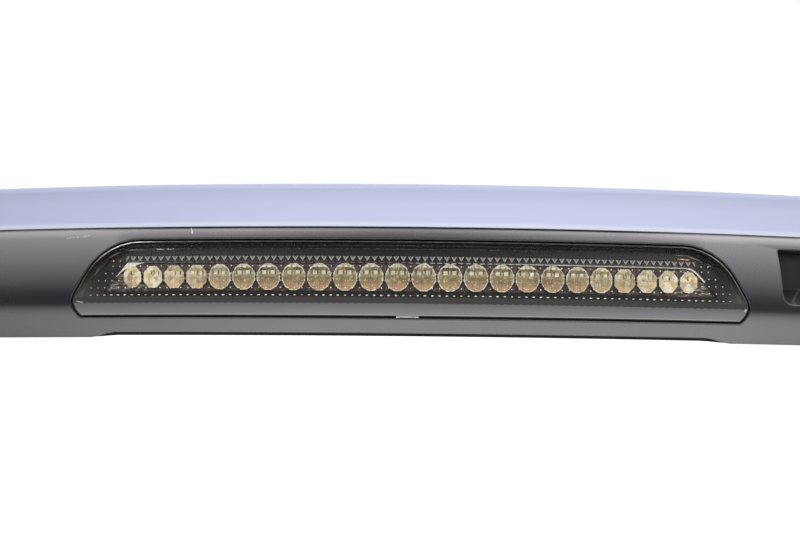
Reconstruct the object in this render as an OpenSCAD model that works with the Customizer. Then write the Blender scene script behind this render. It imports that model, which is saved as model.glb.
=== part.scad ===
// Roof spoiler for the top of a car's tailgate, with a smoked high-level brake lamp let into its rear face.
// +Y points to the front of the car, so the lamp faces -Y. +Z is up, and the ends of the lower shell stand on Z = 0.
// Every swept piece is drawn in three numbers: s, the distance along the crease of the rear face from the
// middle, d, the distance in from that crease, and h, the height above it. at(s, d, h) turns them into a point.

/* [Outline] */
// Width over both ends
span_w = 1180; // [1120:5:1240]
// Depth at the middle, from the crease of the rear face to the front edge
chord_d = 205; // [198:1:225]
// Plan radius of the rear face
bow_r = 1600; // [1500:10:1900]
// Plan radius of the rear corners
corner_r = 95; // [90:1:110]
// Distance of the front edge's ends ahead of its middle
front_sweep = 58; // [50:1:64]
// Radius of the crown, seen from the rear
crown_r = 9000; // [8000:100:12000]
// Half of the stretch over which the lower edge follows the crown
flat_x = 430; // [400:5:460]

/* [Rear face] */
// Height of the face from the crease to the top of the lower shell
face_h = 49.4; // [48.8:0.1:51]
// How far the face leans forward at face_top
face_lean = 12.8; // [11:0.1:14]
// Height at which face_lean is measured
face_top = 45; // [44:0.5:46]
// Height of the lower facet under the crease
facet_h = 23.4; // [22:0.1:25]
// Slope of the lower facet from upright
facet_a = 23.7; // [20:0.1:27]
// Depth of the relief in the middle of the lower edge
relief_h = 3.5; // [2.5:0.1:4]
// Half length of that relief
relief_x = 207; // [200:1:215]
// Length over which the relief runs out
relief_run = 18; // [12:1:24]

/* [Shells] */
// Wall of the lower shell
shell_t = 3; // [2.6:0.1:3.2]
// Wall of the upper skin
skin_t = 3; // [2.6:0.1:3.4]
// Radius of the shoulder under the upper skin
shoulder_r = 4; // [3:0.1:5]
// Width of the bonded flanges
flange_d = 34; // [32:0.5:37]
// Thickness of the adhesive bead between the flanges
bead_t = 0.8; // [0.6:0.1:1.2]
// Height of the painted rear lip
lip_h = 30.7; // [28:0.1:33]
// Lean of the rear lip from upright
lip_a = 18; // [14:0.5:22]
// Radius of the roll from the lip to the top
roll_r = 6; // [4.5:0.1:8]
// How far the lip overhangs the shell behind it
lip_d = 12.5; // [11.5:0.1:13.5]
// Fall of the top from the trailing edge to the front edge
front_drop = 9; // [6:0.5:12]
// Sag of the top between those edges
top_sag = 3; // [1:0.5:4]
// Depth of the closed box at the middle
box_d = 98; // [94:1:104]
// Rise of the box's floor from rear to front
box_rise = 8; // [5:0.5:11]
// Forward lean of the box's front wall
riser_lean = 3; // [2:0.5:5]
// Width of the box's front flange with that lean
riser_w = 18; // [17:0.5:20]
// Thickness of the end caps
cap_t = 3; // [2:0.1:5]
// Radius of the hole for the lamp's lead in the box's front wall
lead_r = 9; // [6:0.5:11]
// Distance of that hole from the middle
lead_x = 62; // [40:1:90]
// Height of that hole above the crease
lead_h = 46; // [42:1:52]
// Share of the box's depth that is left at the ends
end_share = 0.5; // [0.42:0.01:0.56]

/* [Lamp] */
// Width of the window between its tips, before rounding
lamp_w = 453.4; // [440:0.2:460]
// Height of the window
lamp_h = 51.4; // [50.6:0.1:51.6]
// Distance of the window's lower edge below the crease
lamp_drop = 9.8; // [9.2:0.1:10.2]
// Height of the tips above the lower edge
tip_h = 9.5; // [9:0.1:11]
// Slope of the window's ends
slant_a = 61; // [59:0.1:63]
// Slope of the chamfers under the tips
chamfer_a = 53; // [49:0.1:56]
// Rounding of the window's upper corners
top_round = 39; // [34:0.5:41]
// Rounding of the tips
tip_round = 12.4; // [10:0.1:13]
// Rounding of the lower corners
base_round = 4; // [3:0.1:6]
// Gap round the lens
lens_gap = 1.3; // [1:0.1:1.8]
// Wall of the lens
lens_t = 2.5; // [2.2:0.1:2.8]
// Width of the lens flange outside the window
lens_rim = 4.2; // [3.6:0.1:4.4]
// Thickness of the gasket
gasket_t = 2.4; // [2:0.1:2.6]
// Depth of the housing's back behind the crease
housing_d = 38; // [37:0.5:42]
// Wall of the housing
housing_t = 2.5; // [2:0.1:2.8]

/* [Optics] */
// Pods on each side of the middle
pods = 12; // [10:1:12]
// Width of a middle pod with its gap, as a share of the lamp's width
pod_share = 0.0379; // [0.0366:0.0001:0.0383]
// Share by which the last pod is smaller
pod_taper = 0.21; // [0.18:0.01:0.25]
// Gap between two pods
pod_gap = 1.4; // [1:0.1:2]
// Height of a middle pod
pod_high = 18; // [17:0.1:18.4]
// Depth of the pods
pod_d = 6; // [5:0.1:6.6]
// Thickness of the webs between the pods
pod_web = 1.2; // [1:0.1:2]
// Height of the row of pods above the crease
pod_h = 16.7; // [16.2:0.1:17.2]
// Pitch of the prisms
prism_p = 4.72; // [4.6:0.01:4.8]
// Thickness of the prism panel's plate
prism_t = 0.8; // [0.6:0.1:1]
// Height of one prism
prism_h = 1.4; // [1:0.1:1.6]
// Rows of prisms
prism_rows = 6; // [5:1:6]
// Height of the middle of the rows above the crease
prism_mid = 16.8; // [16.5:0.05:17.3]
// Distance of the lowest row's ends inside the lamp's tips
prism_in = 12; // [11.6:0.1:15.9]
// Slope of the ends of the tray and of the prism panel
optic_a = 48; // [46:0.5:52]
// Height of the tray that holds the pods
tray_h = 19.3; // [19:0.1:19.8]
// Distance of the ends of the tray's lower edge inside the lamp's tips
tray_in = 21.4; // [20.6:0.1:24]
// Depth of the tray's floor behind the crease
tray_d = 16; // [15.5:0.1:16.6]
// Rounding of the tray's upper corners
tray_round = 12; // [9:0.5:12]
// Wall of the tray
tray_wall = 1.5; // [1.2:0.1:1.8]

/* [Board and socket] */
// Depth of the board's front behind the crease
board_d = 26; // [25:0.5:27]
// Thickness of the board
board_t = 1.6; // [1:0.1:2]
// Distance of the board's edge inside the window
board_in = 6; // [4:0.5:8]
// Width and height of the socket
socket_size = [24, 17]; // [14:1:28]
// Length of the socket from the inside of the housing's wall
socket_l = 17; // [14:0.5:22]

/* [Pocket] */
// Distance of the pocket's near side from the middle
pocket_x = 245.5; // [242:0.5:249]
// Width of the pocket's mouth
pocket_w = 90; // [70:1:100]
// Height of the pocket's mouth
pocket_h = 38; // [34:0.5:40]
// Height of the pocket's lower edge above the crease
pocket_rise = 3.4; // [3:0.1:5]
// Depth of the pocket's floor behind the crease
pocket_d = 34; // [28:0.5:38]

/* [Mounting] */
// Spacing of the four mounting bolts
mount_pitch = 300; // [290:1:305]
// Place of the bolts between the box's front flange and the front edge, as a share
mount_share = 0.63; // [0.6:0.01:0.65]
// Height of the mounting faces
mount_z = 62; // [60:0.5:66]
// Outer radius of a mounting boss
boss_r = 9; // [8:0.5:11]
// Width, depth and thickness of a bracket's pad
pad_size = [44, 32, 3]; // [3:1:48]
// Bore radius of a threaded insert
insert_r = 2.5; // [2:0.1:3]
// Outer radius of a threaded insert
insert_od = 4.5; // [4:0.1:5]
// Length of a threaded insert
insert_l = 14; // [10:0.5:16]
// Thickness of the foam washers
washer_t = 3; // [2:0.5:5]
// Distance of the locating pins from the middle
pin_x = 300; // [290:1:310]
// Radius of a locating pin
pin_r = 4; // [3:0.1:4.5]
// Free length of a locating pin
pin_l = 14; // [10:0.5:18]
// Width, depth and thickness of a locating pin's pad
pin_pad = [30, 30, 3]; // [3:1:34]
// Width of the front sealing strip
seal_w = 12; // [10:0.5:13]
// Height of the front sealing strip
seal_h = 7; // [5:0.5:9]
// Width of the foam on the box's front wall
foam_w = 14; // [10:0.5:18]
// Thickness of that foam
foam_t = 8; // [5:0.5:12]

/* [Hidden] */
$fn = 40;

primer = [0.76, 0.79, 0.90];
black_shell = [0.16, 0.16, 0.17];
smoke = [0.12, 0.11, 0.11, 0.6];
clear = [0.85, 0.82, 0.72, 0.6];
champagne = [0.80, 0.74, 0.58];

seat = 0.35; // clearance between pieces that are clamped together
fit = 0.4; // clearance over bonded pieces
lens_back = shell_t + seat + gasket_t + seat + lens_t; // depth of the lens behind the face
plate_d = lens_back + seat + 0.2; // depth of the tray's plate behind the face
rim_d = plate_d + tray_wall + seat; // depth of the housing's rim behind the face
half_w = span_w / 2;
bow_a = asin((half_w - corner_r) / (bow_r - corner_r));
bow_len = bow_r * bow_a * PI / 180;
corner_len = corner_r * (90 - bow_a) * PI / 180;
rear_y = -(chord_d + front_sweep) / 2;
corner_c = [(bow_r - corner_r) * sin(bow_a), rear_y + bow_r - (bow_r - corner_r) * cos(bow_a)];
front_x = half_w - end_share * (box_d + riser_w) - (1 - end_share) * flange_d - 5;
side_len = front_y(half_w) - corner_c[1];
path_len = bow_len + corner_len + side_len;
edge_rise = crown(flat_x);
top_h = face_h + bead_t + lip_h;
mount_y = rear_y + mix(box_d + riser_w, chord_d, mount_share); // the bolts and pins stand in one line
mount_xs = [-1.5, -0.5, 0.5, 1.5] * mount_pitch;

// Plan curves and heights
function crown(x) = crown_r - sqrt(crown_r * crown_r - x * x);
function crease_z(x) = edge_rise + facet_h - crown(x);
function front_y(x) = rear_y + chord_d + front_sweep * (1 - cos(180 * min(1, abs(x) / front_x))) / 2;
function crease_y(x) = rear_y + bow_r - sqrt(bow_r * bow_r - x * x);
function mix(a, b, f) = a + (b - a) * f;
function clamp01(f) = min(1, max(0, f));
function ease(f) = let (g = clamp01(f)) g * g * (3 - 2 * g);

// Heading of the crease, its points in plan, and the direction that leads in from it
function turn(s) = let (a = abs(s)) sign(s) * (a <= bow_len ? a / bow_r * 180 / PI
    : a <= bow_len + corner_len ? bow_a + (a - bow_len) / corner_r * 180 / PI : 90);
function path(s) = let (a = abs(s), t = abs(turn(s)),
    p = a <= bow_len ? [bow_r * sin(t), rear_y + bow_r * (1 - cos(t))]
        : a <= bow_len + corner_len ? corner_c + corner_r * [sin(t), -cos(t)]
        : corner_c + [corner_r, a - bow_len - corner_len])
    [sign(s) * p[0], p[1]];
function inward(s) = [-sin(turn(s)), cos(turn(s))];
function at(s, d, h) = let (p = path(s) + inward(s) * d) [p[0], p[1], crease_z(path(s)[0]) + h];

// The rear face's distance in from the crease at height h
function face_d(h) = h >= 0 ? face_lean * (h / face_top) * (h / face_top) : -h * tan(facet_a);
// Height of the lower edge, the relief in it, and the share of the box's depth, along the crease
function low_h(s) = -min(facet_h, crease_z(path(s)[0]));
function relief(s) = relief_h * (1 - ease((abs(s) - relief_x) / relief_run + 0.5));
function box_at(s, d) = flange_d + (d - flange_d) * mix(1, end_share, ease((abs(s) - box_run[0]) / box_run[1]));
box_run = [300, 260]; // where the box starts to get shallower, and over what length

// Points of an arc of radius r that rounds the corner a-b-c in n steps
function rounded(a, b, c, r, n) = let (u = (a - b) / norm(a - b), v = (c - b) / norm(c - b),
    half = acos(u * v) / 2, o = b + (u + v) / norm(u + v) * r / sin(half),
    p = b + u * r / tan(half), q = b + v * r / tan(half))
    [for (i = [0:n]) let (w = mix(p, q, i / n) - o) o + w / norm(w) * r];
function joined(lists) = [for (l = lists) each l];
function reversed(l) = [for (i = [len(l) - 1:-1:0]) l[i]];
// Where two lines n.p = c cross
function crossing(l, m) = let (k = l[0][0] * m[0][1] - l[0][1] * m[0][0])
    [(l[1] * m[0][1] - m[1] * l[0][1]) / k, (m[1] * l[0][0] - l[1] * m[0][0]) / k];

// Stations along the whole crease, and the ones that carry the seals
relief_in = relief_x - relief_run / 2;
half_stations = joined([[for (i = [1:5]) relief_in * i / 5], [for (i = [1:3]) relief_in + relief_run * i / 3],
    [for (i = [1:6]) mix(relief_in + relief_run, bow_len, i / 6)],
    [for (i = [1:5]) bow_len + corner_len * i / 5], [path_len - side_len / 2, path_len]]);
stations = joined([-1 * reversed(half_stations), [0], half_stations]);
bow_stations = [for (s = stations) if (abs(s) < bow_len + 1) s];
function within(limit) = joined([[-limit], [for (s = stations) if (abs(s) < limit - 3) s], [limit]]);

// A thin-walled sweep: each section is [outer points, inner points], of equal number
module sweep(sections) {
    n = len(sections[0][0]);
    k = 2 * n;
    last = len(sections) - 1;
    rings = [for (c = sections) joined([c[0], reversed(c[1])])];
    sides = [for (i = [0:last - 1], j = [0:k - 1]) let (a = i * k + j, b = i * k + (j + 1) % k)
        each [[a, a + k, b + k], [a, b + k, b]]];
    caps = [for (j = [0:n - 2]) let (a = j, b = j + 1, c = k - 2 - j, d = k - 1 - j, o = last * k)
        each [[a, b, c], [a, c, d], [o + a, o + c, o + b], [o + a, o + d, o + c]]];
    polyhedron(joined(rings), joined([sides, caps]), convexity = 10);
}

// A strip of constant section, from d0 to d1 and from h0 to h1
module strip(d0, d1, h0, h1, ss) {
    sweep([for (s = ss) [[at(s, d0, h0), at(s, d0, h1)], [at(s, d1, h0), at(s, d1, h1)]]]);
}

// A moulding behind the rear face. Each level is [outline, depth], where the outline is [lower points, upper
// points], paired from left to right, and depth(h) is the distance in from the crease. The first level is closed
// by a cap that faces the rear and the last by one that faces the front. A ring has no caps: it closes on itself.
module dish(levels, rows = 4, ring = false) {
    c = len(levels[0][0][0]);
    k = 2 * c;
    n = len(levels);
    function cap_h(a, b, j) = a > -1 ? mix(a, b, j / rows) : j == 1 ? 0 : b * (j - 1) / (rows - 1);
    function cap_row(l, j) = [for (i = [0:c - 1]) let (a = levels[l][0][0][i], b = levels[l][0][1][i],
        h = cap_h(a[1], b[1], j)) rear_at(mix(a[0], b[0], (h - a[1]) / (b[1] - a[1])), levels[l][1](h), h)];
    rings = [for (l = levels) each [for (p = loop(l[0])) rear_at(p[0], l[1](p[1]), p[1])]];
    inner = ring || rows < 2 ? [] : [for (l = [0, n - 1], j = [1:rows - 1]) each cap_row(l, j)];
    function id(l, i, j) = j == 0 ? l * k + i : j == rows ? l * k + k - 1 - i
        : n * k + ((l > 0 ? rows - 1 : 0) + j - 1) * c + i;
    sides = [for (l = [0:n - (ring ? 1 : 2)], j = [0:k - 1])
        let (a = l * k + j, b = l * k + (j + 1) % k, d = ((l + 1) % n) * k + j, e = ((l + 1) % n) * k + (j + 1) % k)
        each [[a, b, e], [a, e, d]]];
    function cap(l) = joined([
        [for (i = [1:c - 3], j = [0:rows - 1]) each [[id(l, i, j), id(l, i, j + 1), id(l, i + 1, j + 1)],
            [id(l, i, j), id(l, i + 1, j + 1), id(l, i + 1, j)]]],
        [for (j = [0:rows - 1]) each [[id(l, 0, 0), id(l, 1, j + 1), id(l, 1, j)],
            [id(l, c - 1, 0), id(l, c - 2, j), id(l, c - 2, j + 1)]]],
        [[id(l, 0, 0), id(l, 0, rows), id(l, 1, rows)],
            [id(l, c - 1, 0), id(l, c - 2, rows), id(l, c - 1, rows)]]]);
    caps = ring ? [] : joined([cap(0), [for (f = cap(n - 1)) reversed(f)]]);
    polyhedron(joined([rings, inner]), joined([sides, caps]), convexity = 10);
}

// Everything inside an outline that follows the crown, right through the rear of the spoiler
cut_d = 1.6 * housing_d;
module through(outline) {
    translate([0, rear_y + cut_d, 0]) rotate([90, 0, 0]) linear_extrude(height = cut_d + housing_d)
        polygon([for (p = loop(outline)) [p[0], crease_z(p[0]) + p[1]]]);
}

// A point behind the rear face, by its plan x, and a module that turns a piece drawn along +Y square to the bow
function rear_at(x, d, h) = [x, rear_y + bow_r - sqrt((bow_r - d) * (bow_r - d) - x * x), crease_z(x) + h];
module on_face(x, d, h) {
    translate(rear_at(x, d, h)) rotate([0, 0, asin(x / (bow_r - d))]) children();
}

// A round bar along +Y from d0 to d1
module bar(r, d0, d1) {
    translate([0, d0, 0]) rotate([-90, 0, 0]) cylinder(r = r, h = d1 - d0);
}

// The window's four lines on the right, grown by e
function window_line(i, e) = i == 0 ? [[0, -1], lamp_drop + e]
    : i == 1 ? [[sin(chamfer_a), -cos(chamfer_a)], tip * [sin(chamfer_a), -cos(chamfer_a)] + e]
    : i == 2 ? [[sin(slant_a), cos(slant_a)], tip * [sin(slant_a), cos(slant_a)] + e]
    : [[0, 1], lamp_h - lamp_drop + e];
tip = [lamp_w / 2, tip_h - lamp_drop];
// A half outline of [lower, upper] points, mirrored to the left
function mirrored(half) = [for (l = half) joined([[for (p = reversed(l)) if (p[0] > 0.01) [-p[0], p[1]]], l])];
// The window's outline, grown by e, and the tray's
function window(e) = let (b = crossing(window_line(0, e), window_line(1, e)),
    t = crossing(window_line(1, e), window_line(2, e)), c = crossing(window_line(2, e), window_line(3, e)),
    nose = rounded(b, t, c, tip_round + e, 5), xs = bow_xs(4))
    mirrored([joined([[for (x = xs) [x, b[1]]], [for (f = [0.3, 0.6, 0.9])
        [mix(xs[4], b[0] - 4, f), b[1]]], rounded([0, b[1]], b, t, max(0.2, base_round + e), 3), [nose[0], nose[1], nose[2]]]),
        joined([[for (x = xs) [x, c[1]]], rounded([0, c[1]], c, t, top_round + e, 6),
        [nose[5], nose[4], nose[3]]])]);
tray_low = pod_h - tray_h / 2;
tray_x = lamp_w / 2 - tray_in;
// Plan x of the first stations, which the lamp's pieces share with the shell
function bow_xs(n) = [for (i = [0:n]) path(relief_in * i / 5)[0]];
function tray(e) = let (run = tray_h / tan(optic_a), b = [tray_x + e * 1.6, tray_low - e],
    c = [b[0] - run, tray_low + tray_h + e], xs = bow_xs(4), end = rounded([0, c[1]], c, b, tray_round + e, 6))
    mirrored([joined([[for (x = xs) [x, b[1]]], [for (f = [1:10]) [mix(xs[4], b[0] - 2, f / 10), b[1]]]]),
        joined([[for (x = xs) [x, c[1]]], end,
        [for (f = [0.25, 0.6, 1]) mix(end[6], b, f)]])]);
// An outline as one ring of points
function loop(outline) = joined([outline[0], reversed(outline[1])]);

// Upper skin: primed outer skin with its rear lip and the ledge that is bonded to the lower shell
function skin_z(x, y) = let (u = clamp01((y - crease_y(x)) / (front_y(x) - crease_y(x))))
    crease_z(x) + top_h - front_drop * u - top_sag * 4 * u * (1 - u);
function skin_edge(s) = let (x = (front_x - 5) * s / path_len) [x, front_y(x)];
function skin_section(s) = let (
    start = path(s) + inward(s) * flange_d,
    top = [for (f = [0, 0.33, 0.67, 1]) let (p = mix(start, skin_edge(s), f)) [p[0], p[1], skin_z(p[0], p[1])]],
    lip = path(s) + inward(s) * (lip_d + lip_h * tan(lip_a)),
    low = face_h + bead_t,
    roll_h = skin_z(lip[0], lip[1]) - crease_z(path(s)[0]) - roll_r,
    roll_d = lip_d + (roll_h + roll_r * sin(lip_a) - low) * tan(lip_a) + roll_r * cos(lip_a),
    roll = [for (i = [0:4]) mix(lip_a, 90, i / 4)])
    [joined([[at(s, flange_d, low), at(s, lip_d + 1, low), at(s, lip_d, low + 1)],
        [for (a = roll) at(s, roll_d - roll_r * cos(a), roll_h + roll_r * sin(a))], top]),
    joined([[at(s, flange_d, low + skin_t), at(s, lip_d + skin_t + 1, low + skin_t),
        at(s, lip_d + skin_t + 0.6, low + skin_t + 1)],
        [for (a = roll) at(s, roll_d - (roll_r - skin_t) * cos(a), roll_h + (roll_r - skin_t) * sin(a))],
        [for (p = top) p - [0, 0, skin_t]]])];
// Height above the crease of the skin's underside, less the adhesive, at distance d in
function under(s, d) = let (p = path(s) + inward(s) * d) skin_z(p[0], p[1]) - crease_z(path(s)[0]) - skin_t - bead_t;
module upper_skin() {
    color(primer) sweep([for (s = stations) skin_section(s)]);
}

// Share of the relief that is left where the floor starts
relief_back = 0.3;

// Lower shell: black trough with the lamp's window, a pocket beside it and two flanges that are bonded to the skin
function shell_section(s) = let (
    t = shell_t, low = low_h(s), up = low + relief(s), wall = box_at(s, box_d), foot = wall + riser_lean,
    lip = box_at(s, box_d + riser_w), face_hs = [for (i = [5:-1:1]) i * face_top / 6],
    edge = [face_d(up), up], back = face_d(low) + 5)
    [[for (p = joined([[[flange_d, face_h]],
        rounded([flange_d, face_h], [face_d(face_h), face_h], [face_d(face_top - 3), face_top - 3], shoulder_r, 3),
        [for (h = face_hs) [face_d(h), h]], [[0, 0], [face_d(up + 2.2), up + 2.2], edge + [0.6, 0], [back - 0.5, up + 0.3],
        [back, low + relief(s) * relief_back], [wall, low + box_rise], [foot, under(s, foot) - t],
        [lip, under(s, lip) - t]]])) at(s, p[0], p[1])],
    [for (p = joined([[[flange_d, face_h - t]],
        rounded([flange_d, face_h - t], [face_d(face_h - t) + t, face_h - t],
            [face_d(face_top - 6) + t, face_top - 6], 1, 3),
        [for (h = face_hs) [face_d(h) + t, h]], [[t, 0], [face_d(up + t + 0.4) + t, up + t + 0.4], edge + [t + 0.6, t + 0.4],
        [back + 0.5, up + t + 0.4], [back + t, up + t + 0.5], [wall - t, low + box_rise + t],
        [foot - t, under(s, foot)], [lip, under(s, lip)]]])) at(s, p[0], p[1])]];
// Outline of the pocket, grown by e and drawn in by a share f of its draught
function pocket(e, f) = let (x0 = pocket_x - e + f * 5, x1 = pocket_x + pocket_w + e - f * 5,
    h0 = pocket_rise - e + f * 10, h1 = pocket_rise + pocket_h + e - f * 3,
    a = [x0 + pocket_slant, h0], b = [x1 - pocket_slant, h0], c = [x1, h1], d = [x0, h1])
    [joined([[mix(a, d, 0.4)], rounded(d, a, b, pocket_round + e, 3), rounded(a, b, c, pocket_round + e, 3),
        [mix(b, c, 0.4)]]),
    joined([[mix(a, d, 0.7)], rounded(a, d, c, 2 + e, 3), rounded(d, c, b, 2 + e, 3), [mix(b, c, 0.7)]])];
pocket_slant = 2; // lean of the pocket's sides over its height
pocket_round = 7; // rounding of its lower corners
pocket_step = [0.3, 0.4]; // share of the draught and of the depth at the edge in its floor
module pocket_form(e, front) {
    dish([[pocket(e, 0), front], [pocket(e, pocket_step[0]), function (h) pocket_d * pocket_step[1] + e],
        [pocket(e, 1), function (h) pocket_d + e]], 1);
}
ear_x = lamp_w / 2 + 9.5;
ear_h = 10;
ear_l = 14;
ear_d = face_d(ear_h) + rim_d + 0.3;
module lower_shell() {
    color(black_shell) difference() {
        union() {
            sweep([for (s = stations) shell_section(s)]);
            pocket_form(2.5, function (h) face_d(h) + shell_t * 0.4);
            for (side = [-1, 1]) on_face(side * ear_x, 0, ear_h) bar(4.2, face_d(ear_h) + shell_t * 0.4, ear_d);
        }
        through(window(0));
        pocket_form(0, function (h) -6);
        on_face(lead_x, box_d - shell_t, lead_h) bar(lead_r, -6, riser_lean + 9);
        for (side = [-1, 1]) on_face(side * ear_x, 0, ear_h) bar(1.55, face_d(ear_h) + shell_t * 0.7, ear_d + 1);
    }
}

// Adhesive between the bonded flanges, behind the rear face and on the box's front flange
module bond_beads() {
    play = 0.1;
    function spot(s, d, h) = at(s, d, under(s, d) + h);
    color("dimgray") {
        strip(lip_d + 8, flange_d - 1, face_h + play, face_h + bead_t - play, stations);
        sweep([for (s = stations) let (a = box_at(s, box_d) + riser_lean + 2, b = box_at(s, box_d + riser_w) - 1)
            [[spot(s, a, play), spot(s, a, bead_t - fit - play)],
                [spot(s, b, play), spot(s, b, bead_t - fit - play)]]]);
    }
}

// Plates that close the ends of the trough
module end_caps() {
    t = shell_t + fit;
    low = low_h(path_len);
    wall = box_at(path_len, box_d);
    outline = joined([[[flange_d - 1, face_h - t]], [for (i = [6:-1:1]) [face_d(i * face_top / 6 - 3) + t, i * face_top
        / 6 - 3]], [[face_d(low) + t + 3.5, low + t + 1.8], [wall - t, low + box_rise + t],
        [wall + riser_lean - t - 0.9, under(path_len, wall) - 1.4]]]);
    color(black_shell) for (side = [-1, 1]) translate([0, front_y(half_w), crease_z(half_w)]) rotate([90, 0, 0])
        linear_extrude(height = cap_t) polygon([for (p = outline) [side * (half_w - p[0]), p[1]]]);
}

// Lens: smoked cover with a flange that is clamped behind the window
module lamp_lens() {
    outer = window(-lens_gap);
    rim = window(lens_rim);
    inner = window(-lens_gap - lens_t);
    color(smoke) dish([[outer, function (h) face_d(h)], [outer, function (h) face_d(h) + lens_back - lens_t],
        [rim, function (h) face_d(h) + lens_back - lens_t], [rim, function (h) face_d(h) + lens_back],
        [inner, function (h) face_d(h) + lens_back], [inner, function (h) face_d(h) + lens_t]], 5);
}

// Prism panel: clear panel of small square prisms behind the lens, flat from top to bottom
prism_x = lamp_w / 2 - prism_in;
prism_low = prism_mid - prism_p * prism_rows / 2;
prism_top = prism_mid + prism_p * prism_rows / 2;
function prism_columns(j) = floor((prism_x - (j + 0.5) * prism_p / tan(optic_a)) / prism_p);
function prism_d(h) = lens_t + seat + mix(face_d(prism_low), face_d(prism_top), (h - prism_low) / (prism_top - prism_low));
module prism_panel() {
    c = prism_columns(0);
    w = 2 * c + 1;
    n = prism_rows;
    function spot(i, j, depth) = let (h = prism_low + j * prism_p) rear_at((i - c) * prism_p, prism_d(h) + depth, h);
    front = [for (j = [0:n], i = [0:2 * c]) spot(i, j, 0)];
    rear = [for (j = [0:n], i = [0:2 * c]) spot(i, j, prism_t)];
    tips = [for (j = [0:n - 1], i = [0:2 * c - 1]) spot(i + 0.5, j + 0.5, prism_t + prism_h)];
    o = len(front);
    whole = prism_columns(n - 1) - 1;
    function kept(i, j) = j >= 0 && j < n && abs(i + 0.5 - c) < prism_columns(j);
    function plain(i) = abs(i + 0.5 - c) < whole;
    function id(i, j) = j * w + i;
    // the front of a column: two triangles, a fan towards the stepped end, or a pair for each cell
    faces_front = [for (i = [0:2 * c - 1]) each (plain(i) ? (plain(i - 1) && plain(i + 1)
        ? [[id(i, 0), id(i, n), id(i + 1, n)], [id(i, 0), id(i + 1, n), id(i + 1, 0)]]
        : plain(i + 1) ? joined([[[id(i, n), id(i + 1, n), id(i + 1, 0)]],
            [for (j = [0:n - 1]) [id(i, j), id(i, j + 1), id(i + 1, 0)]]])
        : joined([[[id(i, 0), id(i, n), id(i + 1, n)]],
            [for (j = [0:n - 1]) [id(i + 1, j), id(i, 0), id(i + 1, j + 1)]]]))
        : [for (j = [0:n - 1]) if (kept(i, j)) each [[id(i, j), id(i, j + 1), id(i + 1, j + 1)],
            [id(i, j), id(i + 1, j + 1), id(i + 1, j)]]])];
    faces_rear = [for (j = [0:n - 1], i = [0:2 * c - 1]) if (kept(i, j))
        let (a = id(i, j), b = a + 1, d = a + w, e = d + 1, t = 2 * o + j * 2 * c + i)
        each joined([[[o + a, o + b, t], [o + b, o + e, t], [o + e, o + d, t], [o + d, o + a, t]],
            kept(i - 1, j) ? [] : [[a, o + a, o + d], [a, o + d, d]],
            kept(i + 1, j) ? [] : [[b, e, o + e], [b, o + e, o + b]],
            kept(i, j - 1) ? [] : [[a, b, o + b], [a, o + b, o + a]],
            kept(i, j + 1) ? [] : [[d, o + d, o + e], [d, o + e, e]]])];
    color(clear) polyhedron(joined([front, rear, tips]), joined([faces_front, faces_rear]), convexity = 10);
}

// Pods: one moulded strip of cut optics, smaller towards the ends and joined by thin webs
pod_w = pod_share * lamp_w;
function pod_size(i) = pod_w * (1 - pod_taper * pow(i / (pods - 1), 2.2));
function pod_start(i) = i == 0 ? 0 : pod_start(i - 1) + pod_size(i - 1);
function pod_x(i) = pod_start(i) + pod_size(i) / 2;
module pod_optics() {
    base = tray_d - seat;
    // a column across pod i at share u of its width: half height, depth at the edge, depth of the table
    function column(i, u) = let (w = pod_size(i) - pod_gap, x = pod_x(i) + u * w, edge = abs(u) > 0.4,
        v = (edge ? 0.24 : 0.5) * pod_high * pod_size(i) / pod_w, a = edge ? pod_web : pod_d * 0.4, b = edge ? pod_web : pod_d,
        hs = [-v, -v * 0.56, v * 0.56, v])
        [[for (k = [0:3]) rear_at(x, base - (k == 1 || k == 2 ? b : a), pod_h + hs[k])],
        [for (k = [0:3]) rear_at(x, base, pod_h + hs[k])]];
    half = [for (i = [0:pods - 1], u = [-0.5, -0.28, 0.28, 0.5]) column(i, u)];
    mirror_x = [for (c = reversed(half)) [for (l = c) [for (p = l) [-p[0], p[1], p[2]]]]];
    color(champagne) sweep(joined([mirror_x, half]));
}

// Reflector tray: dark plate clamped behind the lens, with a sunk tray and light slots behind the pods
slot_pods = 4;
module reflector_tray() {
    rim = window(lens_rim - 1);
    field = window(-2);
    back_d = plate_d + tray_wall;
    color([0.22, 0.19, 0.17]) difference() {
        dish([[tray(0), function (h) tray_d], [tray(0), function (h) face_d(h) + plate_d],
            [field, function (h) face_d(h) + plate_d], [rim, function (h) face_d(h) + plate_d],
            [rim, function (h) face_d(h) + back_d], [field, function (h) face_d(h) + back_d],
            [tray(tray_wall), function (h) face_d(h) + back_d],
            [tray(tray_wall), function (h) tray_d + tray_wall]], 1);
        for (side = [-1, 1], i = [0:slot_pods:pods - 1]) let (j = min(pods, i + slot_pods) - 1,
            a = side * (pod_start(i) + 2), b = side * (pod_start(j) + pod_size(j) - 2), x0 = min(a, b), x1 = max(a, b))
            through([[[x0, pod_h - 2.6], [x1, pod_h - 2.6]], [[x0, pod_h + 2.6], [x1, pod_h + 2.6]]]);
    }
}

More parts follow.
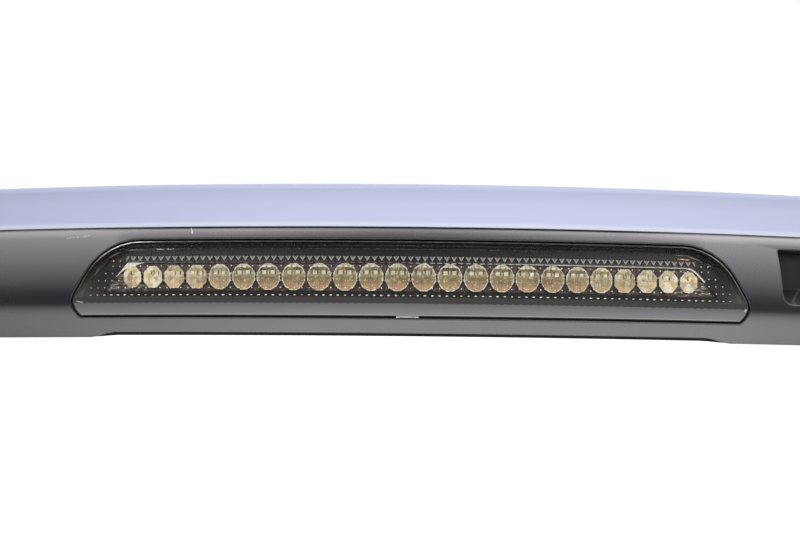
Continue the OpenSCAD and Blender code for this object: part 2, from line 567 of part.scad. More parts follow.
// Circuit board, bent to the lamp's bow, with its diodes, resistors and screws
board_screw_xs = [-0.401, -0.207, 0, 0.207, 0.401] * lamp_w;
board_screw_h = pod_h + 12;
module circuit_board() {
    outline = window(-board_in);
    color("darkgreen") difference() {
        dish([[outline, function (h) board_d], [outline, function (h) board_d + board_t]], 1);
        for (x = board_screw_xs) on_face(x, board_d, board_screw_h) bar(1.6, -1, board_t + 1);
    }
}
module led_chips() {
    color("ivory") for (side = [-1, 1], i = [0:pods - 1]) on_face(side * pod_x(i), board_d, pod_h) {
        translate([-1.75, -1.3, -1.4]) cube([3.5, 1.2, 2.8]);
        translate([0, -1.2, 0]) rotate([90, 0, 0]) cylinder(r1 = 1.3, r2 = 0.8, h = 0.8);
    }
}
resistor_count = 8;
resistor_pitch = 0.1014 * lamp_w;
resistor_size = [3.2, 0.6, 1.6];
module resistors() {
    color("black") for (i = [0:resistor_count - 1])
        on_face((i - (resistor_count - 1) / 2) * resistor_pitch + pod_w / 2, board_d, pod_h - pod_high / 2)
            translate([-resistor_size[0] / 2, -resistor_size[1] - 0.1, -resistor_size[2] / 2]) cube(resistor_size);
}
module board_screws() {
    color("silver") for (x = board_screw_xs) on_face(x, board_d, board_screw_h) difference() {
        union() {
            bar(2.8, -1.9, -0.1);
            bar(1.25, -0.2, board_t + 5);
        }
        translate([-0.3, -2.6, -2]) cube([0.6, 1.4, 4]);
        translate([-2, -2.6, -0.3]) cube([4, 1.4, 0.6]);
    }
}

// Housing: black tub behind the lens, with board posts, ears for the screws and holes for socket and breather
module lamp_housing() {
    inner = window(0.4);
    rim = window(lens_rim);
    outer = window(0.4 + housing_t);
    color([0.10, 0.10, 0.11]) difference() {
        union() {
            dish([[inner, function (h) housing_d - housing_t], [inner, function (h) face_d(h) + rim_d],
                [rim, function (h) face_d(h) + rim_d], [rim, function (h) face_d(h) + rim_d + housing_t],
                [outer, function (h) face_d(h) + rim_d + housing_t], [outer, function (h) housing_d]], 1);
            for (x = board_screw_xs) on_face(x, board_d, board_screw_h)
                bar(3.2, board_t + seat, housing_d - board_d - housing_t / 2);
            for (side = [-1, 1]) on_face(side * ear_x, 0, ear_h) {
                bar(5, ear_d + seat, ear_d + seat + housing_t);
                translate([side > 0 ? -ear_l : 0, ear_d + seat, -4]) cube([ear_l, housing_t, 8]);
            }
        }
        for (x = board_screw_xs) on_face(x, board_d, board_screw_h) bar(1.3, board_t - 1, board_t + 5.5);
        for (side = [-1, 1]) on_face(side * ear_x, 0, ear_h) bar(1.8, ear_d - 2, ear_d + 20);
        on_face(socket_x, housing_d, socket_h) translate([-socket_size[0] / 2, -5, -socket_size[1] / 2])
            cube([socket_size[0], 8, socket_size[1]]);
        on_face(breather_x, housing_d, socket_h) bar(3.05, -5, 3);
    }
}
module lamp_gasket() {
    hole = window(0.3);
    edge = window(lens_rim - 0.3);
    front = shell_t + seat;
    color([0.08, 0.08, 0.08]) dish([[hole, function (h) face_d(h) + front], [edge, function (h) face_d(h) + front],
        [edge, function (h) face_d(h) + front + gasket_t], [hole, function (h) face_d(h) + front + gasket_t]],
        ring = true);
}
module lamp_screws() {
    d0 = ear_d + seat + housing_t;
    color("silver") for (side = [-1, 1]) on_face(side * ear_x, 0, ear_h) difference() {
        union() {
            bar(3.4, d0 + 0.1, d0 + 2.5);
            bar(1.5, face_d(ear_h) + shell_t, d0 + 0.3);
        }
        translate([-0.4, d0 + 1, -2.2]) cube([0.8, 2, 4.4]);
        translate([-2.2, d0 + 1, -0.4]) cube([4.4, 2, 0.8]);
    }
}

// Socket for the car's plug, its two terminals, and the breather beside it
socket_x = lead_x;
socket_h = pod_h;
breather_x = -lead_x;
socket_t = 1.8;
module connector_socket() {
    w = socket_size[0];
    t = socket_size[1];
    color([0.10, 0.10, 0.11]) on_face(socket_x, housing_d, socket_h) translate([0, -housing_t, 0]) difference() {
        union() {
            translate([-w / 2 + seat, 0, -t / 2 + seat]) cube([w - 2 * seat, socket_l, t - 2 * seat]);
            translate([-w / 2 - 2, housing_t + seat, -t / 2 - 2]) cube([w + 4, 2, t + 4]);
        }
        translate([-w / 2 + socket_t, housing_t + 1, -t / 2 + socket_t])
            cube([w - 2 * socket_t, socket_l, t - 2 * socket_t]);
        for (x = [-1, 1]) translate([x * 4.5 - 0.55, -1, -1.45]) cube([1.1, 6, 2.9]);
    }
}
module socket_terminals() {
    color("gold") on_face(socket_x, housing_d, socket_h)
        for (x = [-1, 1]) translate([x * 4.5 - 0.5, -housing_t - 4, -1.4]) cube([1, 12.5, 2.8]);
}
module breather_plug() {
    color("dimgray") on_face(breather_x, housing_d, socket_h) union() {
        bar(3, -4, 0.5);
        difference() {
            bar(6, seat, 5);
            for (a = [0:45:135]) rotate([0, a, 0]) translate([-7, 2.6, -0.5]) cube([14, 1.2, 1]);
        }
    }
}

// Brackets bonded under the skin, each with a boss for an insert, and the washers and pins beside them
function slope_x(x) = atan(skin_z(x + 1, mount_y) - skin_z(x - 1, mount_y)) / 2;
function slope_y(x) = atan(skin_z(x, mount_y + 1) - skin_z(x, mount_y - 1)) / 2;
function pad_z(x) = skin_z(x, mount_y) - skin_t - fit;
module pad(x, size) {
    translate([x, mount_y, pad_z(x)]) rotate([slope_y(x), -slope_x(x), 0])
        translate([-size[0] / 2, -size[1] / 2, -size[2]]) cube(size);
}
module mount_brackets() {
    color(black_shell) for (x = mount_xs) difference() {
        union() {
            pad(x, pad_size);
            translate([x, mount_y, mount_z]) cylinder(r = boss_r, h = pad_z(x) - mount_z - pad_size[2] / 2);
            for (a = [0:90:270]) translate([x, mount_y, pad_z(x) - pad_size[2] / 2]) rotate([0, 0, a])
                translate([0, 1, 0]) rotate([90, 0, 0]) linear_extrude(height = 2)
                    polygon([[boss_r - 1, 0], [boss_r + 6, 0], [boss_r - 1, -20]]);
        }
        translate([x, mount_y, mount_z - 1]) cylinder(r = insert_od + 0.05, h = insert_l + 1.5);
    }
}
module threaded_inserts() {
    color("gold") for (x = mount_xs) translate([x, mount_y, mount_z]) difference() {
        union() {
            cylinder(r = insert_od, h = insert_l * 0.4);
            translate([0, 0, insert_l * 0.4]) cylinder(r = insert_od - 0.5, h = insert_l * 0.2);
            translate([0, 0, insert_l * 0.6]) cylinder(r = insert_od, h = insert_l * 0.4);
        }
        translate([0, 0, -1]) cylinder(r = insert_r, h = insert_l + 2);
    }
}
module mount_washers() {
    color([0.1, 0.1, 0.1]) for (x = mount_xs) translate([x, mount_y, mount_z - washer_t - 0.05]) difference() {
        cylinder(r = boss_r + 4, h = washer_t);
        translate([0, 0, -1]) cylinder(r = insert_od + 1, h = washer_t + 2);
    }
}
module locating_pins() {
    color("white") for (x = [-pin_x, pin_x]) union() {
        pad(x, pin_pad);
        translate([x, mount_y, mount_z]) {
            cylinder(r = pin_r * 2, h = pad_z(x) - mount_z - pin_pad[2] / 2);
            translate([0, 0, 2 - pin_l]) cylinder(r = pin_r, h = pin_l);
            translate([0, 0, -pin_l]) cylinder(r1 = pin_r - 1.5, r2 = pin_r, h = 2);
        }
    }
}

// Sealing strips: one under the front edge, one on the front of the box
function front_at(s, back, down) = let (e = skin_edge(s), y = e[1] - back) [e[0], y, skin_z(e[0], y) - skin_t - down];
module front_seal() {
    ss = [for (s = stations) if (abs(s) < path_len - 1) s];
    color([0.07, 0.07, 0.07]) sweep([for (s = ss) [[front_at(s, 3, 0.1), front_at(s, 3 + seal_w, 0.1)],
        [front_at(s, 4.5, seal_h), front_at(s, 1.5 + seal_w, seal_h)]]]);
}
module tailgate_seal() {
    function riser_d(s, h) = let (wall = box_at(s, box_d), low = low_h(s) + box_rise,
        high = under(s, wall + riser_lean) - shell_t) wall + riser_lean * (h - low) / (high - low);
    function spot(s, out, h) = at(s, riser_d(s, h) + out, h);
    color([0.07, 0.07, 0.07]) sweep([for (s = bow_stations) [[spot(s, 0.1, 12), spot(s, 0.1, 12 + foam_w)],
        [spot(s, foam_t, 14), spot(s, foam_t, 10 + foam_w)]]]);
}

upper_skin();
lower_shell();
bond_beads();
end_caps();
lamp_lens();
prism_panel();
pod_optics();
reflector_tray();
circuit_board();
led_chips();
resistors();
board_screws();
lamp_housing();
lamp_gasket();
lamp_screws();
connector_socket();
socket_terminals();
breather_plug();
mount_brackets();
threaded_inserts();
mount_washers();
locating_pins();
front_seal();
tailgate_seal();
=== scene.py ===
import bmesh
import bpy
import math
from mathutils import Matrix, Vector


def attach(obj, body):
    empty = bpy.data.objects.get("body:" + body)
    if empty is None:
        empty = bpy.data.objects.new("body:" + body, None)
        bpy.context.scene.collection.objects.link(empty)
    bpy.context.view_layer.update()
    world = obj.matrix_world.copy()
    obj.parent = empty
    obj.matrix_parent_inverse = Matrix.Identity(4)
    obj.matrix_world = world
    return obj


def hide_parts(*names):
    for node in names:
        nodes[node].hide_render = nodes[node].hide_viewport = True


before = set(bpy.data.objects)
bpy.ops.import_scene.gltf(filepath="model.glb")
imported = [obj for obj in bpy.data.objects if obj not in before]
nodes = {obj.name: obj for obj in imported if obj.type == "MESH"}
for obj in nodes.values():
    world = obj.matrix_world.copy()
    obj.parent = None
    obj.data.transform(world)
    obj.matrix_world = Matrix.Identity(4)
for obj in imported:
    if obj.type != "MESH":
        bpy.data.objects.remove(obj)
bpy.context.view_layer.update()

# Camera: a 43 mm lens, 0.61 m behind the lamp and a little above its middle, tipped down by one
# degree and rolled by half a degree, as the photograph was taken.
camera_data = bpy.data.cameras.new("photo_camera")
camera_data.sensor_width = 36.0
camera_data.lens = 42.883
camera_data.clip_start = 0.01
camera = bpy.data.objects.new("photo_camera", camera_data)
camera.location = (-0.005556, -0.7445, 0.06841)
camera_turn = Matrix.Rotation(math.radians(0.131), 3, "Z")
camera_turn = camera_turn @ Matrix.Rotation(math.radians(88.994), 3, "X")
camera_turn = camera_turn @ Matrix.Rotation(math.radians(0.574), 3, "Z")
camera.rotation_euler = camera_turn.to_euler()
bpy.context.scene.collection.objects.link(camera)
bpy.context.scene.camera = camera
bpy.context.scene.view_settings.view_transform = "Standard"


# Studio: a white sweep behind the spoiler and a wide soft light high in front of it. Low in
# front the room is dark, and a dark upright shape dims the middle of the reflections.
class Graph:
    """A node tree, with short calls for the sums, ramps and mixes that the looks are made of."""

    def __init__(self, tree):
        tree.nodes.clear()
        self.tree = tree

    def node(self, kind, inputs=None, **settings):
        made = self.tree.nodes.new("ShaderNode" + kind)
        for key, value in settings.items():
            setattr(made, key, value)
        for key, value in (inputs or {}).items():
            socket = made.inputs[key]
            if isinstance(value, bpy.types.NodeSocket):
                self.tree.links.new(value, socket)
            else:
                socket.default_value = (*value, 1.0) if socket.type == "RGBA" else value
        return made

    def calc(self, operation, first, second=0.0, third=0.0, clamp=False):
        inputs = {0: first, 1: second, 2: third}
        return self.node("Math", inputs, operation=operation, use_clamp=clamp).outputs[0]

    def times(self, first, *others):
        for other in others:
            first = self.calc("MULTIPLY", first, other)
        return first

    def most(self, first, *others):
        for other in others:
            first = self.calc("MAXIMUM", first, other)
        return first

    def plus(self, first, second):
        return self.calc("ADD", first, second)

    def minus(self, first, second, clamp=False):
        return self.calc("SUBTRACT", first, second, clamp=clamp)

    def scaled(self, value, factor, offset, clamp=False):
        return self.calc("MULTIPLY_ADD", value, factor, offset, clamp=clamp)

    def ramp(self, value, stops):
        made = self.node("ValToRGB", {"Fac": value})
        points = made.color_ramp.elements
        while len(points) < len(stops):
            points.new(1.0)
        for point, (place, shade) in zip(points, stops):
            point.position = place
            point.color = (*shade, 1.0) if isinstance(shade, tuple) else (shade, shade, shade, 1.0)
        return made.outputs["Color"]

    def mixed(self, share, first, second):
        return self.node("MixRGB", {0: share, 1: first, 2: second}).outputs[0]

    def rays(self):
        """1 on camera rays, and 1 on rays that a reflection or a clear piece sends on."""
        paths = self.node("LightPath").outputs
        bent = self.calc("ADD", paths["Is Glossy Ray"], paths["Is Transmission Ray"], clamp=True)
        return paths["Is Camera Ray"], bent


studio = bpy.data.worlds.new("studio")
studio.use_nodes = True
bpy.context.scene.world = studio
g = Graph(studio.node_tree)
way_x, way_y, way_z = g.node("SeparateXYZ", {0: g.node("TexCoord").outputs["Generated"]}).outputs
SKY_LEVEL = 4.5
sky = g.ramp(way_z, [(0.0, 0.002), (0.09, 0.006), (0.17, 0.040), (0.26, 0.105), (0.44, 0.180), (0.63, 0.285),
                     (0.75, 0.37), (0.81, 0.42), (0.86, 0.62), (0.90, 0.85), (0.95, 0.95), (1.0, 0.40)])
sky = g.times(sky, g.scaled(way_x, 0.6, SKY_LEVEL))
flat = g.calc("SQRT", g.scaled(way_x, way_x, g.times(way_y, way_y)))
facing = g.calc("DIVIDE", g.times(way_y, -1.0), g.most(flat, 0.001), clamp=True)
figure = g.ramp(way_z, [(0.8, 0.80), (0.9, 0.72), (0.97, 0.30), (1.0, 0.0)])
figure = g.times(g.calc("POWER", facing, 9.0), figure)
sky = g.times(sky, g.minus(1.0, figure))
sweep = g.scaled(way_z, 0.6, 0.7)
in_front = g.scaled(way_y, -2.5, 0.5, clamp=True)
room = g.mixed(in_front, sweep, sky)
camera_ray, bent_ray = g.rays()
backdrop = g.times(bent_ray, g.calc("MULTIPLY", way_y, 4.0, clamp=True))
colour = g.mixed(g.most(camera_ray, backdrop), room, (1.0, 1.0, 1.0))
light = g.node("Background", {"Color": colour, "Strength": 1.0}).outputs[0]
g.node("OutputWorld", {0: light})

# Fill lamp: one plain soft box, a metre wide, low in front of the spoiler. It lights the optics
# behind the lens and the primer evenly, and stays out of the reflections.
fill_data = bpy.data.lights.new("front_fill", "AREA")
fill_data.shape = "RECTANGLE"
fill_data.size = 1.0
fill_data.size_y = 0.3
fill_data.energy = 8.0
fill = bpy.data.objects.new("front_fill", fill_data)
fill.location = (0.05, -1.15, 0.30)
fill.rotation_euler = Vector((-0.05, 1.05, -0.25)).to_track_quat("-Z", "Y").to_euler()
fill.visible_glossy = False
bpy.context.scene.collection.objects.link(fill)

# Floor: a pale sweep of painted board, which lights the underside and keeps a faint shadow.
# Its paint ends in a dark cloth a hand's breadth in front of the spoiler, where the room is dark.
bm = bmesh.new()
bmesh.ops.create_grid(bm, x_segments=2, y_segments=2, size=6.0)
floor_mesh = bpy.data.meshes.new("floor")
bm.to_mesh(floor_mesh)
bm.free()
floor = bpy.data.objects.new("floor", floor_mesh)
bpy.context.scene.collection.objects.link(floor)
painted_board = bpy.data.materials.new("painted_board")
painted_board.use_nodes = True
g = Graph(painted_board.node_tree)
floor_x, floor_y, _ = g.node("SeparateXYZ", {0: g.node("TexCoord").outputs["Object"]}).outputs
# Distance from the spoiler's bowed rear face, towards the camera.
bow = g.times(floor_x, floor_x, 0.3125)
ahead = g.minus(g.minus(bow, floor_y), 0.1315)
painted = g.ramp(g.times(ahead, 4.0), [(0.0, 1.0), (0.10, 0.88), (0.22, 0.42), (0.42, 0.12), (0.75, 0.02)])
sideways = g.ramp(g.plus(floor_x, 0.5), [(0.20, 0.60), (0.42, 1.0), (0.72, 1.0), (0.86, 0.72)])
painted = g.times(painted, sideways)
camera_ray, bent_ray = g.rays()
seen = g.times(camera_ray, g.scaled(painted, -0.06, 1.0))
mirrored = g.times(bent_ray, painted, 0.55)
glow = g.node("Emission", {"Color": (1.0, 1.0, 1.0), "Strength": g.most(seen, mirrored)}).outputs[0]
paint = g.mixed(painted, (0.03, 0.03, 0.03), (0.8, 0.8, 0.8))
paint = g.node("BsdfDiffuse", {"Color": paint}).outputs[0]
g.node("OutputMaterial", {0: g.node("AddShader", {0: glow, 1: paint}).outputs[0]})
floor_mesh.materials.append(painted_board)

# Lower shell: injection-moulded black plastic, semi-gloss, bowed from side to side. Its rear
# face rolls back above the crease and drops under it, with a window for the lamp and a pocket.
REAR_Y = -0.1315
BOW_R = 1.6
CROWN_R = 9.0
FLAT_X = 0.43
FACET_H = 0.0234
FACET_SLOPE = math.tan(math.radians(23.7))
FACE_LEAN = 0.0128
FACE_TOP = 0.045
FACE_REACH = 0.434
FACE_STEP = 0.014
FACE_SLACK = 0.0006
NET_TOP = 0.0452
SHOULDER_H = 0.04645
SHOULDER_D = 0.0182
SHOULDER_LEDGE = 0.013
SHOULDER_REAR = 0.0129
SHOULDER_EDGE = 0.0136


def crease_z(x):
    return FACET_H + math.sqrt(CROWN_R ** 2 - x * x) - math.sqrt(CROWN_R ** 2 - FLAT_X ** 2)


def face_d(h):
    """How far the rear face lies behind the crease, at a height h above it."""
    return FACE_LEAN * (h / FACE_TOP) ** 2 if h >= 0 else -h * FACET_SLOPE


def rear_at(x, d, h):
    """The point at x across, d behind the bowed crease and h above it."""
    return Vector((x, REAR_Y + BOW_R - math.sqrt((BOW_R - d) ** 2 - x * x), crease_z(x) + h))


def depth_of(point):
    return BOW_R - math.hypot(point.x, REAR_Y + BOW_R - point.y)


def height_of(point):
    return point.z - crease_z(point.x)


def on_face(point, slack):
    return abs(depth_of(point) - face_d(height_of(point))) < slack


def merged_copy(name):
    made = bmesh.new()
    made.from_mesh(nodes[name].data)
    bmesh.ops.remove_doubles(made, verts=made.verts, dist=2e-5)
    return made


def face_slices(made, half_width, step, heights, top):
    """Cuts the rear face into a fine net that follows the crease, and lays it on the true curve."""
    for v in made.verts:
        v.co.z -= crease_z(v.co.x)

    def is_rear(f):
        near = all(abs(depth_of(v.co) - face_d(v.co.z)) < FACE_SLACK and v.co.z < top for v in f.verts)
        return near and f.normal.y < -0.4 and abs(f.calc_center_median().x) < half_width

    picked = [f for f in made.faces if is_rear(f)]
    geom = list({part for f in picked for part in (*f.verts, *f.edges, f)})
    steps = int(half_width / step)
    cuts = [((i * step, 0, 0), (1, 0, 0)) for i in range(-steps, steps + 1)]
    cuts += [((0, 0, h), (0, 0, 1)) for h in heights]
    for point, normal in cuts:
        geom = bmesh.ops.bisect_plane(made, geom=geom, dist=1e-6, plane_co=point, plane_no=normal)["geom"]
    for v in [part for part in geom if isinstance(part, bmesh.types.BMVert)]:
        d = face_d(v.co.z)
        v.co.y = REAR_Y + BOW_R - math.sqrt((BOW_R - d) ** 2 - v.co.x ** 2)
    for v in made.verts:
        v.co.z += crease_z(v.co.x)


def shell_slope(h):
    """How far the face leans back at a height h, with the crease rounded over a few millimetres."""
    upper = 2 * FACE_LEAN * max(0.0, h) / FACE_TOP ** 2
    return upper - FACET_SLOPE * (1 - math.exp(min(0.0, h) / 0.0055))


def face_normal(point, slope):
    away = Vector((point.x, point.y - REAR_Y - BOW_R, 0.0)).normalized()
    away.z = slope(height_of(point))
    return away.normalized()


def make_object(made, name, finish, sharp=32.0):
    for f in made.faces:
        f.smooth = True
    for e in made.edges:
        e.smooth = e.calc_face_angle(math.pi) < math.radians(sharp)
    mesh = bpy.data.meshes.new(name)
    made.to_mesh(mesh)
    made.free()
    mesh.materials.append(finish)
    obj = bpy.data.objects.new(name, mesh)
    bpy.context.scene.collection.objects.link(obj)
    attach(obj, "root")
    return obj


def true_normals(obj, slope, half_width, top, shoulder=False):
    """Gives the points of the rear face the normals of its true curve, for smooth reflections."""
    mesh = obj.data

    def is_on(point):
        h = height_of(point)
        upright = shoulder and h > SHOULDER_H and depth_of(point) < SHOULDER_EDGE
        return abs(point.x) < half_width and (h < top and on_face(point, 2e-5) or upright)

    on_it = [is_on(v.co) for v in mesh.vertices]
    exact = [face_normal(v.co, slope) if on_it[v.index] else Vector() for v in mesh.vertices]
    normals = [Vector() for _ in mesh.loops]
    for polygon in mesh.polygons:
        for i in polygon.loop_indices:
            vertex = mesh.loops[i].vertex_index
            if on_it[vertex] and polygon.normal.dot(exact[vertex]) > 0.78:
                normals[i] = exact[vertex]
    mesh.normals_split_custom_set(normals)


class Finish(Graph):
    """A piece's material, which knows each point's place and its height above the crease."""

    def __init__(self, name):
        self.material = bpy.data.materials.new(name)
        self.material.use_nodes = True
        super().__init__(self.material.node_tree)
        self.spot = self.node("TexCoord").outputs["Object"]
        self.x, self.y, z = self.node("SeparateXYZ", {0: self.spot}).outputs
        rise = self.scaled(self.times(self.x, self.x), 0.5 / CROWN_R, -crease_z(0.0))
        self.height = self.plus(z, rise)

    def over(self, value, limit):
        return self.calc("GREATER_THAN", value, limit)

    def under(self, value, limit):
        return self.calc("LESS_THAN", value, limit)

    def size_of(self, value):
        return self.calc("ABSOLUTE", value)

    def noise(self, scale, detail, stretch=None):
        spot = self.spot
        if stretch:
            spot = self.node("Mapping", {"Vector": spot, "Scale": stretch}).outputs[0]
        return self.node("TexNoise", {"Vector": spot, "Scale": scale, "Detail": detail}).outputs["Fac"]

    def bumped(self, height, distance, strength, under=None):
        inputs = {"Height": height, "Distance": distance, "Strength": strength}
        if under is not None:
            inputs["Normal"] = under
        return self.node("Bump", inputs).outputs[0]

    def rounded_edges(self, radius):
        return self.node("Bevel", {"Radius": radius}, samples=6).outputs[0]

    def scratch(self, start, end, width):
        """1 on a straight fine mark between two points of the rear face, 0 away from it."""
        (x0, h0), (x1, h1) = start, end
        run, rise = x1 - x0, h1 - h0
        length = math.hypot(run, rise)
        dx = self.minus(self.x, x0)
        dh = self.minus(self.height, h0)
        along = self.scaled(dx, run / length ** 2, self.times(dh, rise / length ** 2))
        off = self.scaled(dh, run / length, self.times(dx, -rise / length))
        thin = self.minus(1.0, self.calc("DIVIDE", self.size_of(off), width), clamp=True)
        return self.times(thin, self.over(along, 0.0), self.under(along, 1.0))

    def shaded(self, **sockets):
        names = {"colour": "Base Color", "metal": "Metallic", "rough": "Roughness", "ior": "IOR",
                 "alpha": "Alpha", "normal": "Normal", "gloss": "Specular IOR Level", "tint": "Specular Tint"}
        made = self.node("BsdfPrincipled", {names[key]: value for key, value in sockets.items()})
        self.node("OutputMaterial", {0: made.outputs[0]})


def plain_finish(name, dark, light, rough, scale, depth, metal=0.0, stretch=None, gloss=0.5):
    """A clouded colour with a fine grain of the given scale, worn paler on its high points."""
    m = Finish(name)
    cloud = m.noise(scale * 0.04, 3.0, stretch)
    fine = m.noise(scale, 3.0, stretch)
    colour = m.mixed(m.ramp(cloud, [(0.3, 0.0), (0.7, 1.0)]), dark, light)
    worn = m.ramp(fine, [(0.66, 0.0), (0.74, 1.0)])
    colour = m.mixed(m.times(worn, 0.3), colour, [c * 1.5 + 0.01 for c in light])
    uneven = m.scaled(fine, 0.16, rough - 0.08, clamp=True)
    m.shaded(colour=colour, rough=uneven, metal=metal, gloss=gloss, normal=m.bumped(fine, depth, 0.6))
    return m.material


def give(name, finish):
    data = nodes[name].data
    data.materials.clear()
    data.materials.append(finish)


m = Finish("black_shell")
black_shell = m.material
cloud = m.noise(14.0, 3.0)
grain = m.noise(2600.0, 2.0)
worn = m.ramp(m.noise(60.0, 6.0, (0.35, 1.0, 2.6)), [(0.62, 0.0), (0.72, 1.0)])
# Two fine scratches and a nick above the lamp's left end.
broken = m.ramp(m.noise(900.0, 1.0), [(0.42, 0.0), (0.60, 1.0)])
long_line = m.scratch((-0.2318, 0.0430), (-0.2140, 0.0449), 0.00045)
short_line = m.scratch((-0.2295, 0.0438), (-0.2175, 0.0441), 0.00025)
nick = m.scratch((-0.1460, 0.0497), (-0.1450, 0.0452), 0.00055)
hairline = m.most(m.times(m.most(long_line, short_line), broken), nick)
colour = m.mixed(cloud, (0.0125, 0.0125, 0.0140), (0.0165, 0.0155, 0.0165))
colour = m.mixed(m.times(worn, 0.12), colour, (0.03, 0.03, 0.032))
colour = m.mixed(m.scaled(nick, 0.5, m.times(hairline, 0.45)), colour, (0.60, 0.60, 0.62))
# The strip under the upper edge turns towards the light and shows paler to the left and right.
top_strip = m.ramp(m.times(m.height, 10.0), [(0.43, 0.0), (0.495, 1.0)])
near_ends = m.ramp(m.plus(m.x, 0.5), [(0.27, 0.61), (0.335, 0.0), (0.64, 0.0), (0.69, 0.9), (0.76, 1.0)])
colour = m.mixed(m.times(top_strip, near_ends, 0.62), colour, (0.55, 0.53, 0.55))
rough = m.scaled(grain, 0.06, m.scaled(cloud, 0.06, 0.20))
normal = m.bumped(grain, 0.00002, 0.35, m.rounded_edges(0.0018))
m.shaded(colour=colour, rough=rough, ior=1.8, gloss=1.0, tint=(1.0, 0.95, 1.0), normal=normal)

# A matt near-black, darker than the shell: painted shade on the shell's underside and window walls, and on the
# lens's walls and flange.
matt_shade_black = plain_finish("matt_shade_black", (0.003, 0.003, 0.003), (0.007, 0.007, 0.007), 0.60, 1400.0, 0.00004,
                          gloss=0.25)

m = Finish("pocket_grain_and_shade")
pocket_grain_and_shade = m.material
fine = m.noise(1400.0, 3.0)
# Painted shade: the pocket's grey is drawn halfway to black low down, and less towards its top.
shade = m.ramp(m.times(m.height, 20.0), [(0.05, 0.50), (0.25, 0.50), (0.62, 0.75), (0.8, 0.90)])
grey = m.mixed(fine, (0.050, 0.049, 0.052), (0.075, 0.073, 0.077))
colour = m.mixed(shade, (0.004, 0.004, 0.004), grey)
# A painted highlight along a fold in the pocket's lower corner.
fold_highlight = m.scratch((0.2550, 0.0036), (0.2790, 0.0160), 0.0008)
colour = m.mixed(m.times(fold_highlight, 0.5), colour, (0.16, 0.155, 0.16))
normal = m.bumped(fine, 0.00003, 0.5, m.rounded_edges(0.0022))
m.shaded(colour=colour, rough=m.scaled(fine, 0.2, 0.4), gloss=0.35, normal=normal)

FACE_HEIGHTS = [-0.022, -0.0195, -0.017, -0.0145, -0.012, -0.0095, -0.007, -0.005, -0.003, -0.0015, 0.0,
                0.0015, 0.003, 0.0055, 0.008, 0.011, 0.014, 0.017, 0.020, 0.023, 0.026, 0.029, 0.032,
                0.035, 0.038, 0.0405, 0.0425]
bm = merged_copy("lower_shell")
# The ledge's wall is pulled out close under the skin's lip, which leaves a fine joint.
for v in bm.verts:
    d = depth_of(v.co)
    if abs(v.co.x) < FACE_REACH and height_of(v.co) > SHOULDER_H and d < SHOULDER_D:
        v.co.y += SHOULDER_REAR + (d - SHOULDER_LEDGE) * 0.1 - d
face_slices(bm, FACE_REACH, FACE_STEP, FACE_HEIGHTS, NET_TOP)
# The underside and the window's walls get a matt near-black, which is painted shade there, and the pocket keeps
# the mould's grain under painted shade of its own.
for f in bm.faces:
    middle = f.calc_center_median()
    h = height_of(middle)
    behind = depth_of(middle) - face_d(h)
    under = h < -0.012 and 0.0008 < behind < 0.040
    wall = abs(middle.x) < 0.234 and -0.0125 < h < 0.0435 and 0.0003 < behind < 0.012
    in_pocket = 0.243 < middle.x < 0.345 and 0.002 < h < 0.043 and 0.0004 < behind < 0.036
    f.material_index = 2 if in_pocket else 1 if under or wall else 0
shell = make_object(bm, "moulded_lower_shell", black_shell)
shell.data.materials.append(matt_shade_black)
shell.data.materials.append(pocket_grain_and_shade)
true_normals(shell, shell_slope, FACE_REACH, NET_TOP, shoulder=True)
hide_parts("lower_shell")

# Upper skin: the outer skin in pale lavender primer, sprayed and not yet painted, with a lip
# that turns down over the shell's upper edge. A paler line along that edge is a painted highlight.
m = Finish("primer")
primer = m.material
cloud = m.noise(7.0, 3.0)
peel = m.noise(420.0, 2.0)
speck = m.noise(2400.0, 1.0)
# Painted shade: the primer is darker towards the left end and a little towards the right, where less light
# falls.
along = m.ramp(m.plus(m.x, 0.5), [(0.20, 0.0), (0.42, 0.85), (0.60, 1.0), (0.82, 0.70)])
colour = m.mixed(along, (0.39, 0.42, 0.585), (0.475, 0.505, 0.675))
colour = m.mixed(m.times(cloud, 0.25), colour, (0.43, 0.46, 0.63))
# Painted shade: the lip darkens towards its top.
top_shade = m.ramp(m.times(m.height, 10.0), [(0.53, 0.0), (0.66, 0.25), (0.77, 1.0)])
colour = m.mixed(m.times(top_shade, 0.50), colour, (0.26, 0.28, 0.40))
dots = m.ramp(speck, [(0.68, 0.0), (0.74, 1.0)])
colour = m.mixed(m.times(dots, 0.12), colour, (0.35, 0.37, 0.5))
# Painted highlight: a paler line along the lip's lower edge.
lip_highlight = m.ramp(m.times(m.height, 10.0), [(0.505, 1.0), (0.522, 1.0), (0.535, 0.0)])
colour = m.mixed(m.times(lip_highlight, 0.5), colour, (0.66, 0.65, 0.73))
normal = m.bumped(speck, 0.00001, 0.3, m.bumped(peel, 0.00004, 0.25))
m.shaded(colour=colour, rough=m.scaled(cloud, 0.1, 0.36), gloss=0.35, normal=normal)

LIP_LOW = 0.0502
LIP_D = 0.0125
LIP_CUT = 0.001
NEAR = 0.0002
bm = merged_copy("upper_skin")
# The lip's chamfered foot is drawn out and down to a crisper edge, close over the shell.
for v in bm.verts:
    h, d = height_of(v.co), depth_of(v.co)
    if abs(v.co.x) >= FACE_REACH:
        continue
    at_foot = abs(h - LIP_LOW) < NEAR
    if at_foot and abs(d - LIP_D - LIP_CUT) < NEAR:
        v.co.y -= 0.0007
    elif abs(h - LIP_LOW - LIP_CUT) < NEAR and abs(d - LIP_D) < NEAR:
        v.co.z -= 0.0011
    if at_foot and d < 0.019:
        v.co.z -= 0.0004
skin = make_object(bm, "primed_upper_skin", primer, 40.0)
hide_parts("upper_skin")

